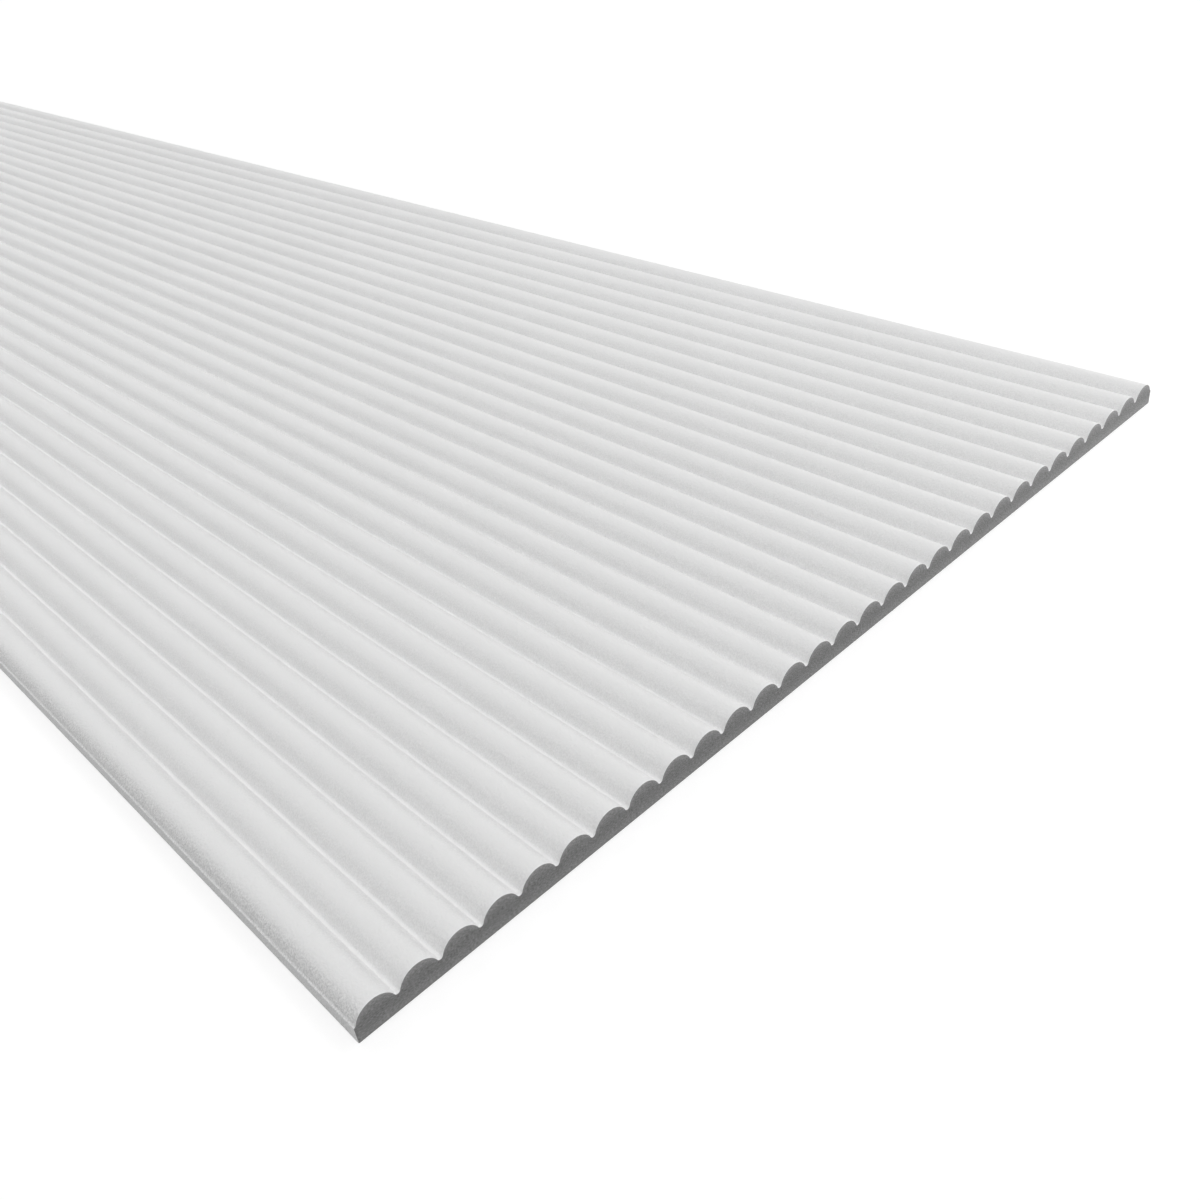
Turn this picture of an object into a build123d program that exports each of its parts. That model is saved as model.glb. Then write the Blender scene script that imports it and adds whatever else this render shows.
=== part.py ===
from build123d import *
import os

# Ribbed wall panel: one machined board, flat on its back, with half-round ribs side by side on its face.
# It lies on its back. X runs across the ribs, Y along them and Z up, out of the wall.
# The origin is the centre of the back face. All sizes are in millimetres.

# Board
PANEL_LENGTH = 2400.0
WEB_THICKNESS = 9.0

# Ribs: each is a round bar that stands on the web, and a rounded groove parts it from the next
RIB_COUNT = 30
RIB_PITCH = 20.0
RIB_HEIGHT = 7.0
GROOVE_RADIUS = 1.2

# The long edges are cut at the bottom of a groove, so that butted panels keep the pitch
panel_width = RIB_COUNT * RIB_PITCH
edge_x = panel_width / 2
end_y = PANEL_LENGTH / 2
crest_z = WEB_THICKNESS + RIB_HEIGHT

# A rib's arc runs into the groove's arc without a corner, which fixes the distance between their centres
half_pitch = RIB_PITCH / 2
centre_distance = (half_pitch**2 + RIB_HEIGHT**2) / (2 * RIB_HEIGHT)
rib_radius = centre_distance - GROOVE_RADIUS
rib_centre_z = crest_z - rib_radius
groove_centre_z = WEB_THICKNESS + GROOVE_RADIUS


def rib_x(index):
    """The middle of one rib, counted from the -X edge."""
    return -edge_x + (index + 0.5) * RIB_PITCH


def foot(index, side):
    """The point where a rib's arc meets the groove on its -X (side -1) or +X (side 1) side."""
    share = rib_radius / centre_distance
    x = rib_x(index) + side * half_pitch * share
    z = rib_centre_z + (groove_centre_z - rib_centre_z) * share
    return x, z


def rib_arc(index):
    """One rib's round face, from foot to foot over its crest."""
    return ThreePointArc(foot(index, -1), (rib_x(index), crest_z), foot(index, 1))


def groove_arc(index):
    """The round bottom of the groove between one rib and the next."""
    bottom = (rib_x(index) + half_pitch, WEB_THICKNESS)
    return ThreePointArc(foot(index, 1), bottom, foot(index + 1, -1))


def edge_groove_arc(index, side):
    """The half groove that is left between an outermost rib and the panel's long edge."""
    return TangentArc((side * edge_x, WEB_THICKNESS), foot(index, side), tangent=(-side, 0))


def panel_section():
    """The board's cross-section, drawn with the width along X and the height along Y."""
    with BuildSketch() as section:
        with BuildLine():
            for index in range(RIB_COUNT):
                add(rib_arc(index))
            for index in range(RIB_COUNT - 1):
                add(groove_arc(index))
            add(edge_groove_arc(0, -1))
            add(edge_groove_arc(RIB_COUNT - 1, 1))
            Polyline(
                (-edge_x, WEB_THICKNESS),
                (-edge_x, 0),
                (edge_x, 0),
                (edge_x, WEB_THICKNESS),
            )
        make_face()
    return section.sketch


def ribbed_panel():
    """The section run along the panel's length, centred on the origin."""
    upright = Plane(origin=(0, end_y, 0), x_dir=(1, 0, 0), z_dir=(0, -1, 0))
    return extrude(upright * panel_section(), amount=PANEL_LENGTH)


os.makedirs("parts", exist_ok=True)
export_step(ribbed_panel(), "parts/ribbed_panel.step")
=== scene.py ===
import math

import bpy
from mathutils import Matrix, Vector


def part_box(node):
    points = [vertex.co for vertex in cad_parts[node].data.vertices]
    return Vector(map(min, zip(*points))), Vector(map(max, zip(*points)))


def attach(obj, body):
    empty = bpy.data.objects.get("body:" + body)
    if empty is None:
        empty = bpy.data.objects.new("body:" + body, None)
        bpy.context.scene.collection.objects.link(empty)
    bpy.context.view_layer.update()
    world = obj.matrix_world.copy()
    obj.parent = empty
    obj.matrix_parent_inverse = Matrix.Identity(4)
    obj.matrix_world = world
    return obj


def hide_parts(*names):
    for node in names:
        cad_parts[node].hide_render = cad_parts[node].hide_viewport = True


# The ribbed wall panel lies on its back: X across the ribs, Y along them, Z up. Everything is in metres.
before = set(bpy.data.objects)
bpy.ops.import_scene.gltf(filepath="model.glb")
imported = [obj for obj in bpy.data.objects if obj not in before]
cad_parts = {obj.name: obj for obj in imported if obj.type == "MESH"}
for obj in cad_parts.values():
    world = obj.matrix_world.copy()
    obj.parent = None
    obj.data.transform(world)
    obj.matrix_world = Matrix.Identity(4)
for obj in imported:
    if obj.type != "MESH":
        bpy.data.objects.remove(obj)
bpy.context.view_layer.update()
low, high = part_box("ribbed_panel")
thickness = high.z - low.z
edge_x = high.x
end_y = high.y

# Section: round ribs that run into rounded grooves, as the solid has them
RIB_COUNT = 30
RIB_HEIGHT = 0.007
GROOVE_RADIUS = 0.0012

half_pitch = edge_x / RIB_COUNT
centre_distance = (half_pitch**2 + RIB_HEIGHT**2) / (2 * RIB_HEIGHT)
rib_radius = centre_distance - GROOVE_RADIUS
rib_centre_z = high.z - rib_radius
groove_centre_z = rib_centre_z + centre_distance - RIB_HEIGHT
steepest = math.asin(half_pitch / centre_distance)

# Eased edges: each long one is cut down the middle of a groove, and each end is sawn square
LONG_ARRIS = 0.0005
END_ARRIS = 0.0003

edge_drop = math.sqrt((GROOVE_RADIUS + LONG_ARRIS) ** 2 - LONG_ARRIS**2)
edge_lean = math.asin(LONG_ARRIS / (GROOVE_RADIUS + LONG_ARRIS))

# Steps that each curve and the length are divided into
RIB_STEPS = 26
GROOVE_STEPS = 10
CORNER_STEPS = 4
ARRIS_STEPS = 3
LENGTH_ROWS = 12

QUARTER_TURN = math.pi / 2
HALF_TURN = math.pi

PAINT_SLOT = 0
CORE_SLOT = 1


def outward(lean):
    """The direction that leans from straight up towards +X by this angle."""
    return math.sin(lean), math.cos(lean)


def arc(centre, radius, hollow, start, stop, steps):
    """An arc of the outline as (x, z, lean) points. A hollow arc is seen from its centre's side."""
    points = []
    reach = -radius if hollow else radius
    for k in range(steps + 1):
        lean = start + (stop - start) * k / steps
        across, up = outward(lean)
        points.append((centre[0] + reach * across, centre[1] + reach * up, lean))
    return points


def outline(inset):
    """The section's outline, drawn inside itself by inset, and the indices of its groove and back points."""
    corner = LONG_ARRIS - inset
    rib = rib_radius - inset
    groove = GROOVE_RADIUS + inset
    side_x = edge_x - LONG_ARRIS
    corner_z = groove_centre_z - edge_drop
    points = arc((-side_x, LONG_ARRIS), corner, False, -HALF_TURN, -QUARTER_TURN, CORNER_STEPS)
    points += arc((-side_x, corner_z), corner, False, -QUARTER_TURN, -edge_lean, CORNER_STEPS)
    points += arc((-edge_x, groove_centre_z), groove, True, -edge_lean, -steepest, GROOVE_STEPS)[1:]
    splits = []
    for i in range(RIB_COUNT):
        rib_x = -edge_x + (2 * i + 1) * half_pitch
        points += arc((rib_x, rib_centre_z), rib, False, -steepest, steepest, RIB_STEPS)[1:]
        if i < RIB_COUNT - 1:
            foot = (rib_x + half_pitch, groove_centre_z)
            splits.append(len(points) - 1 + GROOVE_STEPS // 2)
            points += arc(foot, groove, True, steepest, -steepest, GROOVE_STEPS)[1:]
    points += arc((edge_x, groove_centre_z), groove, True, steepest, edge_lean, GROOVE_STEPS)[1:]
    points += arc((side_x, corner_z), corner, False, edge_lean, QUARTER_TURN, CORNER_STEPS)[1:]
    points += arc((side_x, LONG_ARRIS), corner, False, QUARTER_TURN, HALF_TURN, CORNER_STEPS)
    backs = []
    for i in reversed(range(1, RIB_COUNT)):
        backs.append(len(points))
        points.append((-edge_x + 2 * i * half_pitch, inset, HALF_TURN))
    return points, splits, backs[::-1]


def stations():
    """Places along the length as (y, inset, tilt): the tilt turns the surface's direction towards the end."""
    near_end = []
    for k in range(ARRIS_STEPS + 1):
        tilt = QUARTER_TURN * (1 - k / ARRIS_STEPS)
        y = -end_y + END_ARRIS * (1 - math.sin(tilt))
        near_end.append((y, END_ARRIS * (1 - math.cos(tilt)), -tilt))
    inner = end_y - END_ARRIS
    body = [(-inner + 2 * inner * k / LENGTH_ROWS, 0.0, 0.0) for k in range(1, LENGTH_ROWS)]
    far_end = [(-y, inset, -tilt) for y, inset, tilt in reversed(near_end)]
    return near_end + body + far_end


def panel_mesh():
    """The whole board: a skin along the length and two sawn ends, each divided at the groove bottoms."""
    places = stations()
    vertices = []
    normals = []
    for y, inset, tilt in places:
        points, splits, backs = outline(inset)
        for x, z, lean in points:
            across, up = outward(lean)
            vertices.append((x, y, z))
            normals.append((across * math.cos(tilt), math.sin(tilt), up * math.cos(tilt)))
    count = len(points)
    rows = len(places) - 1
    faces = []
    slots = []
    for row in range(rows):
        here = row * count
        there = here + count
        for k in range(count):
            after = (k + 1) % count
            faces.append((here + k, here + after, there + after, there + k))
        slots += [CORE_SLOT if row in (0, rows - 1) else PAINT_SLOT] * count
    last = rows * count
    cuts = [0] + splits + [backs[-1] - 1]
    for i in range(RIB_COUNT):
        loop = list(range(cuts[i], cuts[i + 1] + 1))
        if i < RIB_COUNT - 1:
            loop.append(backs[i])
        if i > 0:
            loop.append(backs[i - 1])
        faces.append(tuple(reversed(loop)))
        faces.append(tuple(last + k for k in loop))
        slots += [CORE_SLOT, CORE_SLOT]
    mesh = bpy.data.meshes.new("panel")
    mesh.from_pydata(vertices, [], faces)
    mesh.polygons.foreach_set("material_index", slots)
    mesh.polygons.foreach_set("use_smooth", [True] * len(faces))
    mesh.normals_split_custom_set_from_vertices(normals)
    mesh.update()
    return mesh


# Most values of a noise texture lie in this range
NOISE_SPAN = (0.3, 0.7)


def new_material(name):
    """An empty node material with its shader: (material, nodes, links, shader)."""
    material = bpy.data.materials.new(name)
    material.use_nodes = True
    nodes = material.node_tree.nodes
    links = material.node_tree.links
    return material, nodes, links, nodes["Principled BSDF"]


def noise_at(nodes, links, place, scale, detail, stretch=(1.0, 1.0, 1.0)):
    """A noise texture fixed to the board. Its scale is in cycles a metre, times the stretch on each axis."""
    mapping = nodes.new("ShaderNodeMapping")
    mapping.inputs["Scale"].default_value = stretch
    links.new(place, mapping.inputs["Vector"])
    noise = nodes.new("ShaderNodeTexNoise")
    noise.inputs["Scale"].default_value = scale
    noise.inputs["Detail"].default_value = detail
    links.new(mapping.outputs["Vector"], noise.inputs["Vector"])
    return noise.outputs["Fac"]


def spread(nodes, links, value, onto, span=NOISE_SPAN):
    """A value mapped from the range span onto another range, and held within that."""
    remap = nodes.new("ShaderNodeMapRange")
    remap.inputs["From Min"].default_value = span[0]
    remap.inputs["From Max"].default_value = span[1]
    remap.inputs["To Min"].default_value = onto[0]
    remap.inputs["To Max"].default_value = onto[1]
    links.new(value, remap.inputs["Value"])
    return remap.outputs["Result"]


def joined(nodes, links, operation, first, second=None):
    """A math node on one value, or on two where the second is a number or another value."""
    node = nodes.new("ShaderNodeMath")
    node.operation = operation
    links.new(first, node.inputs[0])
    if isinstance(second, float):
        node.inputs[1].default_value = second
    elif second is not None:
        links.new(second, node.inputs[1])
    return node.outputs["Value"]


def split_up(nodes, links, vector):
    """A vector's X, Y and Z, each by its name."""
    split = nodes.new("ShaderNodeSeparateXYZ")
    links.new(vector, split.inputs["Vector"])
    return split.outputs


def grey_of(nodes, links, value):
    """A neutral colour of that linear value."""
    combine = nodes.new("ShaderNodeCombineColor")
    for channel in ("Red", "Green", "Blue"):
        links.new(value, combine.inputs[channel])
    return combine.outputs["Color"]


def raised(nodes, links, height, distance, strength, under=None):
    """A bump of that height, over another one if given."""
    bump = nodes.new("ShaderNodeBump")
    bump.inputs["Distance"].default_value = distance
    bump.inputs["Strength"].default_value = strength
    links.new(height, bump.inputs["Height"])
    if under is not None:
        links.new(under, bump.inputs["Normal"])
    return bump.outputs["Normal"]


# Paint: a linear grey with a faint drift of tone along and across the board
PAINT = 0.88
PAINT_ROUGHNESS = (0.46, 0.56)
PAINT_SPECULAR = 0.4
DRIFT = 0.006
DRIFT_SCALE = 9.0

# Relief of the paint: orange peel, and a fine mist over it
PEEL_SCALE = 750.0
PEEL_DISTANCE = 0.0013
PEEL_STRENGTH = 0.35
MIST_SCALE = 2600.0
MIST_DISTANCE = 0.00005
MIST_STRENGTH = 0.3

# Painted light and shade in the paint: fine specks that stand for the relief's shading, and grow towards the
# long edges and with the steepness of a rib's flank
RELIEF_SHADE_SCALE = 1300.0
RELIEF_SHADE_RANGE = (-1.2, 0.8)
EDGE_RELIEF_SHADE = 0.09
EDGE_RELIEF_SHADE_START = 0.0055
EDGE_RELIEF_SHADE_FULL = 0.003
FLANK_RELIEF_SHADE = 0.05
FLANK_STEEPNESS = (0.2, 0.7)


def paint_material():
    """Sprayed satin white: orange peel, mist, a faint drift of tone, and specks of painted light and shade on
    flanks and long edges.
    """
    material, nodes, links, shader = new_material("sprayed_white")
    place = nodes.new("ShaderNodeTexCoord").outputs["Object"]
    facing = nodes.new("ShaderNodeNewGeometry").outputs["Normal"]
    drift = noise_at(nodes, links, place, DRIFT_SCALE, detail=3.0)
    peel = noise_at(nodes, links, place, PEEL_SCALE, detail=2.0)
    mist = noise_at(nodes, links, place, MIST_SCALE, detail=1.0)
    speck = noise_at(nodes, links, place, RELIEF_SHADE_SCALE, detail=1.0)
    edge_band = (edge_x - EDGE_RELIEF_SHADE_START, edge_x - EDGE_RELIEF_SHADE_FULL)
    off_centre = joined(nodes, links, "ABSOLUTE", split_up(nodes, links, place)["X"])
    on_edge = spread(nodes, links, off_centre, (0.0, EDGE_RELIEF_SHADE), edge_band)
    steep = joined(nodes, links, "ABSOLUTE", split_up(nodes, links, facing)["X"])
    on_flank = spread(nodes, links, steep, (0.0, FLANK_RELIEF_SHADE), FLANK_STEEPNESS)
    relief_shade_amount = joined(nodes, links, "ADD", on_edge, on_flank)
    # Specks of painted light and shade for the relief's shading, strongest on steep flanks and near the long
    # edges
    painted_relief_shade = joined(nodes, links, "MULTIPLY", spread(nodes, links, speck, RELIEF_SHADE_RANGE), relief_shade_amount)
    tone = spread(nodes, links, drift, (PAINT - DRIFT, PAINT + DRIFT))
    tone_with_relief_shade = joined(nodes, links, "ADD", tone, painted_relief_shade)
    links.new(grey_of(nodes, links, tone_with_relief_shade), shader.inputs["Base Color"])
    links.new(spread(nodes, links, peel, PAINT_ROUGHNESS), shader.inputs["Roughness"])
    skin = raised(nodes, links, peel, PEEL_DISTANCE, PEEL_STRENGTH)
    misted = raised(nodes, links, mist, MIST_DISTANCE, MIST_STRENGTH, skin)
    links.new(misted, shader.inputs["Normal"])
    shader.inputs["Specular IOR Level"].default_value = PAINT_SPECULAR
    return material


# Core: a linear grey, with painted light that makes it lighter towards both faces from a tenth of the
# thickness off its middle
CORE = 0.212
CORE_ROUGHNESS = (0.82, 0.92)
CORE_SPECULAR = 0.25
FACE_PAINTED_LIGHT = 0.07
FACE_PAINTED_LIGHT_START = 0.1

# Rims: a painted highlight makes each rib's core lighter just inside its round top, and that fades out in the
# web
RIM_PAINTED_HIGHLIGHT = 0.06
RIM_DEPTH = 0.0028
RIM_FADE = 0.002

# Fibre of the core: fine specks over flat streaks
FIBRE_SCALE = 1400.0
FIBRE_STRETCH = (0.6, 1.0, 1.6)
FIBRE_TONE = 0.1
FIBRE_DISTANCE = 0.0002
FIBRE_STRENGTH = 0.4
STREAK_SCALE = 330.0
STREAK_STRETCH = (0.45, 1.0, 1.7)
STREAK_TONE = 0.022


def painted_light_near_faces(nodes, links, z):
    """Painted light on the core at this height: nothing in its middle, and most at its two faces."""
    above = joined(nodes, links, "SUBTRACT", z, thickness / 2)
    off_middle = joined(nodes, links, "ABSOLUTE", above)
    return spread(nodes, links, off_middle, (0.0, FACE_PAINTED_LIGHT), (FACE_PAINTED_LIGHT_START * thickness, thickness / 2))


def painted_highlight_near_rims(nodes, links, x, z):
    """Painted highlight: how much lighter the core is near the round rim of its rib."""
    from_edge = joined(nodes, links, "ADD", x, edge_x)
    from_groove = joined(nodes, links, "PINGPONG", from_edge, half_pitch)
    off_rib = joined(nodes, links, "SUBTRACT", from_groove, half_pitch)
    over_centre = joined(nodes, links, "SUBTRACT", z, rib_centre_z)
    across = joined(nodes, links, "MULTIPLY", off_rib, off_rib)
    upward = joined(nodes, links, "MULTIPLY", over_centre, over_centre)
    reach = joined(nodes, links, "SQRT", joined(nodes, links, "ADD", across, upward))
    rim = spread(nodes, links, reach, (0.0, RIM_PAINTED_HIGHLIGHT), (rib_radius - RIM_DEPTH, rib_radius))
    in_rib = spread(nodes, links, z, (0.0, 1.0), (groove_centre_z - RIM_FADE, groove_centre_z))
    return joined(nodes, links, "MULTIPLY", rim, in_rib)


def core_material():
    """The sawn board: pressed fibre in flat streaks, with painted light towards the two faces and a painted
    highlight just inside the ribs' rims.
    """
    material, nodes, links, shader = new_material("sawn_core")
    place = nodes.new("ShaderNodeTexCoord").outputs["Object"]
    at = split_up(nodes, links, place)
    # Painted light: the core made lighter towards its two faces
    faces = painted_light_near_faces(nodes, links, at["Z"])
    # Painted highlight just inside each rib's round rim
    rims = painted_highlight_near_rims(nodes, links, at["X"], at["Z"])
    fibre = noise_at(nodes, links, place, FIBRE_SCALE, detail=3.0, stretch=FIBRE_STRETCH)
    streak = noise_at(nodes, links, place, STREAK_SCALE, detail=3.0, stretch=STREAK_STRETCH)
    fine = spread(nodes, links, fibre, (-FIBRE_TONE, FIBRE_TONE))
    coarse = spread(nodes, links, streak, (CORE - STREAK_TONE, CORE + STREAK_TONE))
    grain = joined(nodes, links, "ADD", fine, coarse)
    # Grain, plus painted light towards the faces and a painted highlight inside the rims
    tone = joined(nodes, links, "ADD", grain, joined(nodes, links, "ADD", faces, rims))
    links.new(grey_of(nodes, links, tone), shader.inputs["Base Color"])
    links.new(spread(nodes, links, streak, CORE_ROUGHNESS), shader.inputs["Roughness"])
    links.new(raised(nodes, links, fibre, FIBRE_DISTANCE, FIBRE_STRENGTH), shader.inputs["Normal"])
    shader.inputs["Specular IOR Level"].default_value = CORE_SPECULAR
    return material


panel = bpy.data.objects.new("panel", panel_mesh())
bpy.context.scene.collection.objects.link(panel)
panel.data.materials.append(paint_material())
panel.data.materials.append(core_material())
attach(panel, "root")
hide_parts("ribbed_panel")

# Floor: a pale sheet that shows as white round the board and keeps the board's soft shadow
FLOOR_SIZE = 30.0
FLOOR_GAP = 0.0001
FLOOR_GREY = 0.45
FLOOR_ROUGHNESS = 0.9
FLOOR_GLOW = 0.66
WHITE = (1.0, 1.0, 1.0, 1.0)


def seen_directly(nodes, links):
    """1 for camera, glossy and transmission rays, and 0 for the rays that light the board."""
    path = nodes.new("ShaderNodeLightPath")
    seen = path.outputs["Is Camera Ray"]
    for kind in ("Is Glossy Ray", "Is Transmission Ray"):
        seen = joined(nodes, links, "MAXIMUM", seen, path.outputs[kind])
    return seen


def floor_material():
    """Matt and pale, with a glow only where the floor is seen directly."""
    material, nodes, links, shader = new_material("floor_sheet")
    shader.inputs["Base Color"].default_value = (FLOOR_GREY, FLOOR_GREY, FLOOR_GREY, 1.0)
    shader.inputs["Roughness"].default_value = FLOOR_ROUGHNESS
    shader.inputs["Specular IOR Level"].default_value = 0.0
    shader.inputs["Emission Color"].default_value = WHITE
    glow = joined(nodes, links, "MULTIPLY", seen_directly(nodes, links), FLOOR_GLOW)
    links.new(glow, shader.inputs["Emission Strength"])
    return material


half = FLOOR_SIZE / 2
floor_z = low.z - FLOOR_GAP
corners = [(-half, -half, floor_z), (half, -half, floor_z), (half, half, floor_z), (-half, half, floor_z)]
floor_mesh = bpy.data.meshes.new("floor")
floor_mesh.from_pydata(corners, [], [(0, 1, 2, 3)])
floor_mesh.materials.append(floor_material())
floor = bpy.data.objects.new("floor", floor_mesh)
bpy.context.scene.collection.objects.link(floor)

# World: an even soft sky that shows as white where it is seen directly
SKY = 0.2

world = bpy.data.worlds.new("sky")
bpy.context.scene.world = world
world.use_nodes = True
nodes = world.node_tree.nodes
links = world.node_tree.links
background = nodes["Background"]
background.inputs["Color"].default_value = WHITE
strength = spread(nodes, links, seen_directly(nodes, links), (SKY, 1.0), (0.0, 1.0))
links.new(strength, background.inputs["Strength"])


def aimed(name, data, towards):
    """Adds a lamp whose light comes from that direction, and returns it."""
    lamp = bpy.data.objects.new(name, data)
    lamp.rotation_mode = "QUATERNION"
    lamp.rotation_quaternion = towards.to_track_quat("Z", "Y")
    bpy.context.scene.collection.objects.link(lamp)
    return lamp


def sun(name, level, azimuth, elevation, width):
    """A far soft lamp. Its level is how bright it makes a white face that is turned to it.

    Azimuth turns from +X towards +Y, and width is the angle that the lamp spans, all in degrees.
    """
    data = bpy.data.lights.new(name, "SUN")
    data.energy = level * math.pi
    data.angle = math.radians(width)
    around = math.radians(azimuth)
    rise = math.radians(elevation)
    flat = math.cos(rise)
    aimed(name, data, Vector((math.cos(around) * flat, math.sin(around) * flat, math.sin(rise))))


def soft_box(name, power, place, target, width, height):
    """A near rectangular lamp that faces its target and isn't seen itself."""
    data = bpy.data.lights.new(name, "AREA")
    data.energy = power
    data.shape = "RECTANGLE"
    data.size = width
    data.size_y = height
    lamp = aimed(name, data, Vector(place) - Vector(target))
    lamp.location = place
    lamp.visible_camera = False


sun("left_high", level=0.225, azimuth=180.0, elevation=65.0, width=20.0)
sun("right_high", level=0.145, azimuth=0.0, elevation=50.0, width=20.0)
sun("front_right", level=0.112, azimuth=-45.0, elevation=50.0, width=40.0)
sun("rear", level=0.116, azimuth=90.0, elevation=50.0, width=40.0)
sun("front", level=0.269, azimuth=-90.0, elevation=22.0, width=40.0)
soft_box("end_box", power=1.0, place=(0.45, -1.6, 0.06), target=(0.2, -1.2, 0.01), width=0.4, height=0.1)
soft_box("far_box", power=0.23, place=(0.35, -0.9, 0.5), target=(0.35, -0.9, 0.0), width=0.4, height=0.8)

# Camera: a plain centred one at the photograph's place
CAMERA_PLACE = Vector((-0.3854, -1.4761, 0.3713))
CAMERA_AIM = Vector((-0.0548, -1.0730, 0.0))
CAMERA_ROLL = math.radians(-8.046)
CAMERA_LENS = 35.864
SENSOR_WIDTH = 36.0
NEAR_CLIP = 0.01
FAR_CLIP = 100.0
STRAIGHT_UP = Vector((0.0, 0.0, 1.0))

camera_data = bpy.data.cameras.new("camera")
camera_data.lens = CAMERA_LENS
camera_data.sensor_width = SENSOR_WIDTH
camera_data.clip_start = NEAR_CLIP
camera_data.clip_end = FAR_CLIP
camera = bpy.data.objects.new("camera", camera_data)
bpy.context.scene.collection.objects.link(camera)
ahead = (CAMERA_AIM - CAMERA_PLACE).normalized()
level_side = ahead.cross(STRAIGHT_UP).normalized()
level_up = level_side.cross(ahead)
right = level_side * math.cos(CAMERA_ROLL) + level_up * math.sin(CAMERA_ROLL)
up = right.cross(ahead)
turned = Matrix((right, up, -ahead)).transposed().to_4x4()
camera.matrix_world = Matrix.Translation(CAMERA_PLACE) @ turned
bpy.context.scene.camera = camera

bpy.context.scene.view_settings.view_transform = "Standard"
